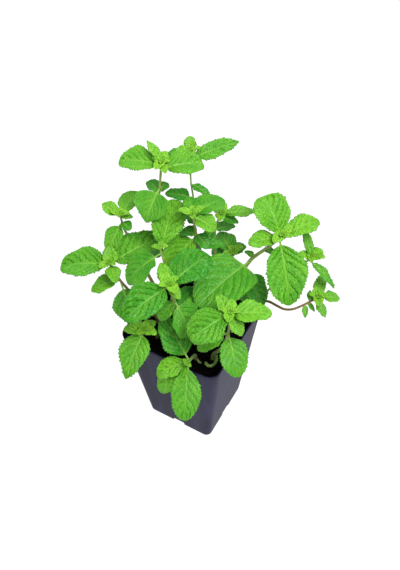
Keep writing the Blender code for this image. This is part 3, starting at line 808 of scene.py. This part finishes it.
def mouldedPolypropylene():
    # recycled polypropylene, injection moulded: bluish slate grey, satin, with faint flow marks and dust
    look = potLook
    material, tree, shader = newMaterial("mouldedPolypropylene", {
        "Roughness": look["gloss"], "IOR": 1.49, "Specular IOR Level": 0.07, "Specular Tint": look["tint"]})
    coords = addNode(tree, "ShaderNodeTexCoord", {}).outputs["Object"]
    streakSpace = addNode(tree, "ShaderNodeMapping", {"Scale": (1.0, 1.0, 0.12)}, {"Vector": coords})
    flow = addNode(tree, "ShaderNodeTexNoise", {"Scale": 1 / look["flowMark"], "Detail": 4.0},
                   {"Vector": streakSpace.outputs[0]})
    fine = addNode(tree, "ShaderNodeTexNoise", {"Scale": 1 / look["grain"], "Detail": 3.0},
                   {"Vector": coords})
    dust = addNode(tree, "ShaderNodeMath",
                   {"operation": "MULTIPLY_ADD", 1: 2.0, 2: -0.80, "use_clamp": True},
                   {0: flow.outputs["Fac"]})
    body = addNode(tree, "ShaderNodeMix",
                   {"data_type": "RGBA", 6: linear(look["face"]), 7: linear(look["scuff"])},
                   {0: dust.outputs[0]})
    tree.links.new(body.outputs[2], shader.inputs["Base Color"])
    rough = addNode(tree, "ShaderNodeMath", {"operation": "MULTIPLY_ADD", 1: 0.25, 2: look["gloss"] - 0.12},
                    {0: flow.outputs["Fac"]})
    tree.links.new(rough.outputs[0], shader.inputs["Roughness"])
    bump = addNode(tree, "ShaderNodeBump", {"Strength": 0.15, "Distance": 0.05 * mm},
                   {"Height": fine.outputs["Fac"]})
    tree.links.new(bump.outputs[0], shader.inputs["Normal"])
    return material


def addPot():
    # the tub, with a drain notch in the middle of each side of its foot and a label slot in two walls
    shape = potShape
    pot = addPiece("potTub", potPart(), mouldedPolypropylene(), ["pot"])
    reach = shape["bottomHalf"] - shape["notchReach"] / 2 + 1 * mm
    boxes = []
    for x, y in ((0, -1), (0, 1), (-1, 0), (1, 0)):
        size = [shape["notchWidth"], shape["notchReach"], 2 * shape["notchHeight"]]
        boxes.append((size if y else [size[1], size[0], size[2]], [x * reach, y * reach, 0]))
    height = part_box("pot")[1].z - shape["slotDrop"] - shape["slotHeight"] / 2
    for x in (-1, 1):
        size = [shape["slotReach"], shape["slotWidth"], shape["slotHeight"]]
        boxes.append((size, [x * shape["topHalf"], shape["slotSide"], height]))
    cutAway(pot, boxes)


addPot()
print("pot")


# the mix colour is darker than damp peat: partly its own colour, partly painted shade under the leaves
mixLook = {
    "colour": "#050403", "fleck": "#140e0a", "lump": 7 * mm, "crumb": 1.6 * mm, "lumpHeight": 1.6 * mm,
    "crumbHeight": 0.8 * mm, "around": 320, "rings": 96, "corner": 8.3 * mm, "footShare": 0.744,
    "stemMound": 1.2 * mm, "moundSpan": 3.0 * mm,
}


def dampPottingMix():
    # peat and composted bark, damp: dark as damp peat is, and darkened further to nearly black as painted
    # shade under the leaves; crumbly, quite matt, with brown flecks
    look = mixLook
    material, tree, shader = newMaterial("dampPottingMix", {
        "Roughness": 0.92, "IOR": 1.4, "Specular IOR Level": 0.1})
    coords = addNode(tree, "ShaderNodeTexCoord", {}).outputs["Object"]
    fleck = addNode(tree, "ShaderNodeTexNoise", {"Scale": 1 / (1.8 * mm), "Detail": 5.0, "Roughness": 0.7},
                    {"Vector": coords})
    share = addNode(tree, "ShaderNodeMath",
                    {"operation": "MULTIPLY_ADD", 1: 2.6, 2: -1.35, "use_clamp": True},
                    {0: fleck.outputs["Fac"]})
    body = addNode(tree, "ShaderNodeMix",
                   {"data_type": "RGBA", 6: linear(look["colour"]), 7: linear(look["fleck"])},
                   {0: share.outputs[0]})
    tree.links.new(body.outputs[2], shader.inputs["Base Color"])
    bump = addNode(tree, "ShaderNodeBump", {"Strength": 0.6, "Distance": 0.4 * mm},
                   {"Height": fleck.outputs["Fac"]})
    tree.links.new(bump.outputs[0], shader.inputs["Normal"])
    return material


mixLow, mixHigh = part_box("potting_mix")
mixTop = mixHigh.z


def mixHeight(x, y):
    # lumps and crumbs of noise on a level top, with a small mound round the foot of each stem
    look = mixLook
    lumps = hashNoise(x / look["lump"], y / look["lump"], 11) * look["lumpHeight"] * 0.6
    u, v = x / look["crumb"], y / look["crumb"]
    crumbs = hashNoise(u, v, 12) * look["crumbHeight"] * 0.5
    crumbs = crumbs + hashNoise(u * 2.3, v * 2.3, 13) * look["crumbHeight"] * 0.3
    rise = np.zeros_like(x)
    for line in stemLines.values():
        if line[0][2] < mixTop + 2 * mm:
            away = np.hypot(x - line[0][0], y - line[0][1]) / look["moundSpan"]
            rise = rise + look["stemMound"] * np.exp(-away ** 2)
    return mixTop - 0.4 * mm + lumps + crumbs + rise


def mixPart():
    # point(ring, turn): rings spread from the middle of the top to its edge, go down and close underneath
    look = mixLook
    turn = np.linspace(0, 2 * np.pi, look["around"], endpoint=False)
    share = np.linspace(0.01, 1, look["rings"])
    topHalf, corner = mixHigh.x, look["corner"]
    bottomHalf = topHalf * look["footShare"]
    reach = share[:, None] * squircle(turn, topHalf, corner)[None]
    x, y = reach * np.cos(turn), reach * np.sin(turn)
    top = np.stack([x, y, mixHeight(x, y)], -1)
    walls = []
    for drop in np.linspace(0.03, 1, 14):
        edge = squircle(turn, topHalf + (bottomHalf - topHalf) * drop, corner * (1 - 0.3 * drop))
        z = np.full_like(turn, mixTop + (mixLow.z - mixTop) * drop)
        walls.append(np.stack([edge * np.cos(turn), edge * np.sin(turn), z], -1))
    rings = np.concatenate([top, np.array(walls)])
    middle = np.zeros((1, 1))
    startPole = np.array([0, 0, float(mixHeight(middle, middle)[0, 0])])
    points, quads, triangles = ringMesh(rings, startPole, np.array([0, 0, mixLow.z]))
    return points, quads, triangles, {}


# Loose bits on the mix: how many, and their length in mm
crumbs = {"count": 420, "smallest": 0.7, "largest": 3.4, "spread": 0.93}


def crumbParts():
    # each is a twenty-sided lump, stretched and turned at random, half sunk in the mix
    dice = np.random.default_rng(41)
    golden = (1 + 5 ** 0.5) / 2
    lump = np.array([(0, a, b * golden) for a in (-1, 1) for b in (-1, 1)])
    lump = np.vstack([np.roll(lump, turn, axis=1) for turn in range(3)]) / math.hypot(1, golden)
    apart = np.linalg.norm(lump[:, None] - lump[None], axis=2)
    near = (apart > 0.1) & (apart < 1.2)
    trios = [(i, j, k) for i in range(12) for j in range(i + 1, 12) for k in range(j + 1, 12)
             if near[i, j] and near[j, k] and near[i, k]]
    faces = np.array([t if np.linalg.det(lump[list(t)]) > 0 else t[::-1] for t in trios])
    parts = []
    for _ in range(crumbs["count"]):
        spot = dice.uniform(-1, 1, 2) * mixHigh.x * crumbs["spread"]
        size = crumbs["smallest"] + (crumbs["largest"] - crumbs["smallest"]) * dice.random() ** 3
        axes = np.linalg.qr(dice.normal(size=(3, 3)))[0]
        shape = lump * (1 + 0.25 * dice.normal(size=(12, 1)))
        shape = shape * (np.array([1, 0.6, 0.4]) * size * mm / 2) @ axes
        height = float(mixHeight(np.array([[spot[0]]]), np.array([[spot[1]]]))[0, 0]) + size * 0.1 * mm
        parts.append((shape + [spot[0], spot[1], height], np.empty((0, 4), int), faces, {}))
    return joinParts(parts)


mixMaterial = dampPottingMix()
addPiece("mixBed", mixPart(), mixMaterial, ["potting_mix"])
addPiece("mixCrumbs", crumbParts(), mixMaterial)
print("potting mix and", crumbs["count"], "crumbs")


# Rooted shoots that arch out of the mix and back: radius in mm, how red, points in mm from a stem's foot
arches = [
    ("n", 1.3, 0.0, [(1.8, 3.2, 0), (4.1, -1, 3), (4.3, -6.3, 3.5), (1.4, -8.9, 3.5), (-2, -7.6, 2.5),
                     (-3.3, -5, -1)]),
    ("o", 0.9, 0.2, [(1, 0, -1), (2, -0.5, 2.5), (3.5, -2, 4), (5, -2.5, 3.5), (5.2, -1, 1), (4.2, 0, -1)]),
]

for number, (key, radius, red, steps) in enumerate(arches):
    foot = np.array([stemLines[key][0][0], stemLines[key][0][1], mixTop])
    path = foot + np.array(steps) * mm
    fine = curveThrough(np.linspace(0, 1, len(path)), path, np.linspace(0, 1, 24), False)
    part, line = stemPart(fine, np.full(len(fine), radius * mm), [], (red, red))
    addPiece("rootedArch%d" % (number + 1), part, stemMaterial)
print("rooted arches:", len(arches))


studio = {
    "floor": "#6c6c6c", "floorGlow": 0.95, "floorSize": 40.0, "world": 0.36, "lampAim": 0.13,
    "azimuth": 31.5, "elevation": 54.5, "distance": 0.600, "aimHeight": 0.100,
    "lookRight": 0.00715, "lookUp": 0.0434, "roll": -1.3, "lens": 44.2,
}


# Each light's name, azimuth, elevation, distance in metres, size in metres and power in watts
lights = [
    ("keyLight", 66, 62, 1.2, 0.55, 13.0),
    ("fillLight", -40, 40, 1.3, 1.1, 3.5),
    ("backLight", 200, 55, 1.2, 0.9, 3.0),
]


def addFloor():
    # smooth matt studio floor, lit from within so that it reads as white
    material = newMaterial("paleFloor", {
        "Base Color": linear(studio["floor"]), "Roughness": 0.8, "Specular IOR Level": 0.1,
        "Emission Color": (1, 1, 1, 1), "Emission Strength": studio["floorGlow"]})[0]
    bpy.ops.mesh.primitive_plane_add(size=studio["floorSize"], location=(0, 0, cadBox[0][2] - 0.0002))
    floor = bpy.context.object
    floor.name = "floor"
    floor.data.materials.append(material)


def addLight(name, azimuth, elevation, distance, size, power):
    # a square lamp aimed at the middle of the plant
    az, el = math.radians(azimuth), math.radians(elevation)
    place = Vector((math.sin(az) * math.cos(el), -math.cos(az) * math.cos(el), math.sin(el))) * distance
    data = bpy.data.lights.new(name, "AREA")
    data.size = size
    data.energy = power
    light = bpy.data.objects.new(name, data)
    aim = Vector((0, 0, studio["lampAim"]))
    light.location = place + aim
    light.rotation_euler = (aim - light.location).to_track_quat("-Z", "Y").to_euler()
    bpy.context.scene.collection.objects.link(light)


def addCamera():
    # placed round a point above the pot, then turned by its roll
    az, el = math.radians(studio["azimuth"]), math.radians(studio["elevation"])
    back = Vector((math.sin(az) * math.cos(el), -math.cos(az) * math.cos(el), math.sin(el)))
    pivot = Vector((0, 0, studio["aimHeight"]))
    right = Vector((0, 0, 1)).cross(back).normalized()
    up = back.cross(right)
    place = pivot + back * studio["distance"]
    ahead = (pivot + right * studio["lookRight"] + up * studio["lookUp"] - place).normalized()
    level = ahead.cross(Vector((0, 0, 1))).normalized()
    upright = level.cross(ahead)
    roll = math.radians(studio["roll"])
    across = level * math.cos(roll) + upright * math.sin(roll)
    upright = upright * math.cos(roll) - level * math.sin(roll)
    data = bpy.data.cameras.new("camera")
    data.lens = studio["lens"]
    camera = bpy.data.objects.new("camera", data)
    turn = Matrix((across, upright, -ahead)).transposed().to_4x4()
    camera.matrix_world = Matrix.Translation(place) @ turn
    bpy.context.scene.collection.objects.link(camera)
    bpy.context.scene.camera = camera


addFloor()
for row in lights:
    addLight(*row)
addCamera()
world = bpy.data.worlds.new("studioWorld")
world.use_nodes = True
world.node_tree.nodes["Background"].inputs[0].default_value = (1, 1, 1, 1)
world.node_tree.nodes["Background"].inputs[1].default_value = studio["world"]
bpy.context.scene.world = world
bpy.context.scene.view_settings.view_transform = "Standard"
print("studio")
